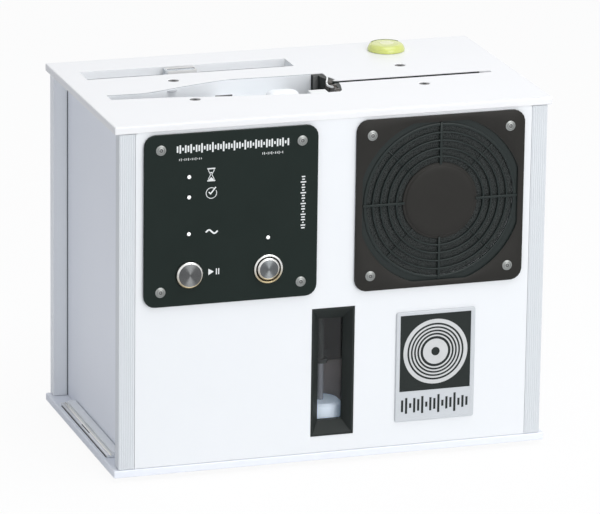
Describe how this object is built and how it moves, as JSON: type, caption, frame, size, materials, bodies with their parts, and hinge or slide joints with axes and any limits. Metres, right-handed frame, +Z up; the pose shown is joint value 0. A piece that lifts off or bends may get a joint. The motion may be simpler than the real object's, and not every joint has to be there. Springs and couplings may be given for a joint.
{
  "type": "record cleaning machine",
  "caption": "White cabinet that washes and dries a record dipped through a top slot, with a button plate, a fan guard and a water window in front.",
  "frame": {"origin": "on the floor under the middle of the two end plates, at the feet's undersides", "axes": "+X to the right of someone facing the front, +Y from the front to the rear, +Z up"},
  "size_m": [0.328, 0.1953, 0.27],
  "materials": {
    "white_panel": "satin white",
    "aluminium": "fine ribbed, anodised",
    "black_plate": "satin black green",
    "black_plastic": "satin black",
    "foam": "open foam",
    "clear_pane": "clear",
    "badge_silver": "silver with a dark field",
    "tank_grey": "plain",
    "white_moulding": "pale blue white",
    "steel": "turned",
    "gear_cream": "plain",
    "rubber": "matt",
    "fleece": "short pile",
    "level_yellow": "clear yellow green",
    "board_green": "circuit board"
  },
  "bodies": {
    "case": {"badge_plate": "badge_silver", "barrel_motor": "steel", "bottom_plate": "white_panel", "control_board": "board_green", "control_plate": "black_plate", "corner_profile_front_left": "aluminium", "corner_profile_front_right": "aluminium", "corner_profile_rear_left": "aluminium", "corner_profile_rear_right": "aluminium", "fan_filter": "foam", "fan_frame": "black_plastic", "fan_guard": "black_plastic", "filter_well": "white_moulding", "foot_front_left": "rubber", "foot_front_right": "rubber", "foot_rear_left": "rubber", "foot_rear_right": "rubber", "front_panel": "white_panel", "ledge_strip": "aluminium", "level_vial": "level_yellow", "nozzle_front": "black_plastic", "nozzle_rear": "black_plastic", "power_button_body": "steel", "power_socket": "black_plastic", "pump": "black_plastic", "rear_panel": "white_panel", "record_motor": "steel", "screw_control_high_left": "steel", "screw_control_high_right": "steel", "screw_control_low_left": "steel", "screw_control_low_right": "steel", "screw_guard_high_left": "steel", "screw_guard_high_right": "steel", "screw_guard_low_left": "steel", "screw_guard_low_right": "steel", "side_panel_left": "white_panel", "side_panel_right": "white_panel", "tank_lid": "tank_grey", "top_plate": "white_panel", "top_screw_front_left": "steel", "top_screw_front_right": "steel", "top_screw_rear_left": "steel", "top_screw_rear_right": "steel", "transducer_bar": "steel", "wash_tub": "white_moulding", "water_tank": "tank_grey", "window_bezel": "black_plastic", "window_pane": "clear_pane"},
    "start_button": {"start_button_cap": "steel"},
    "power_button": {"power_button_cap": "steel"},
    "fan": {"fan_rotor": "black_plastic"},
    "float_body": {"float": "white_moulding"},
    "filter": {"filter_cartridge": "white_moulding"},
    "pinion": {"barrel_pinion": "gear_cream"},
    "barrel_front_left": {"cleaning_barrel_front_left": "fleece"},
    "barrel_front_right": {"cleaning_barrel_front_right": "fleece"},
    "barrel_rear_left": {"cleaning_barrel_rear_left": "fleece"},
    "barrel_rear_right": {"cleaning_barrel_rear_right": "fleece"},
    "record_drive": {"record_drive_roller": "rubber"},
    "idler": {"idler_roller": "rubber"}
  },
  "joints": [
    {"name": "start_press", "type": "slide", "parent": "case", "child": "start_button", "axis": [0, 1, 0], "range_m": [0, 0.0015], "stiffness_N_per_m": 600},
    {"name": "power_press", "type": "slide", "parent": "case", "child": "power_button", "axis": [0, 1, 0], "range_m": [0, 0.0015], "stiffness_N_per_m": 600},
    {"name": "fan_spin", "type": "hinge", "parent": "case", "child": "fan", "pos_m": [0.0789, -0.078, 0.1935], "axis": [0, 1, 0], "continuous": true},
    {"name": "float_rise", "type": "slide", "parent": "case", "child": "float_body", "axis": [0, 0, 1], "range_m": [0, 0.028]},
    {"name": "filter_lift", "type": "slide", "parent": "case", "child": "filter", "axis": [0, 0, 1], "range_m": [0, 0.1]},
    {"name": "barrel_front_left_spin", "type": "hinge", "parent": "case", "child": "barrel_front_left", "pos_m": [-0.0445, -0.0258, 0.198], "axis": [0, 0, 1], "continuous": true},
    {"name": "barrel_front_right_spin", "type": "hinge", "parent": "case", "child": "barrel_front_right", "pos_m": [-0.0185, -0.0258, 0.198], "axis": [0, 0, 1], "continuous": true},
    {"name": "barrel_rear_left_spin", "type": "hinge", "parent": "case", "child": "barrel_rear_left", "pos_m": [-0.0445, 0.0002, 0.198], "axis": [0, 0, 1], "continuous": true},
    {"name": "barrel_rear_right_spin", "type": "hinge", "parent": "case", "child": "barrel_rear_right", "pos_m": [-0.0185, 0.0002, 0.198], "axis": [0, 0, 1], "continuous": true},
    {"name": "pinion_spin", "type": "hinge", "parent": "case", "child": "pinion", "pos_m": [-0.064, -0.0258, 0.13], "axis": [0, 0, 1], "continuous": true},
    {"name": "record_drive_spin", "type": "hinge", "parent": "case", "child": "record_drive", "pos_m": [0.07549, -0.0128, 0.16462], "axis": [0, 1, 0], "continuous": true},
    {"name": "idler_spin", "type": "hinge", "parent": "case", "child": "idler", "pos_m": [-0.07549, -0.0128, 0.16462], "axis": [0, 1, 0], "continuous": true}
  ],
  "couplings": [
    {"joint": "barrel_front_right_spin", "follows": "barrel_front_left_spin", "ratio": -1},
    {"joint": "barrel_rear_left_spin", "follows": "barrel_front_left_spin", "ratio": -1},
    {"joint": "barrel_rear_right_spin", "follows": "barrel_front_left_spin", "ratio": 1},
    {"joint": "pinion_spin", "follows": "barrel_front_left_spin", "ratio": -2}
  ]
}
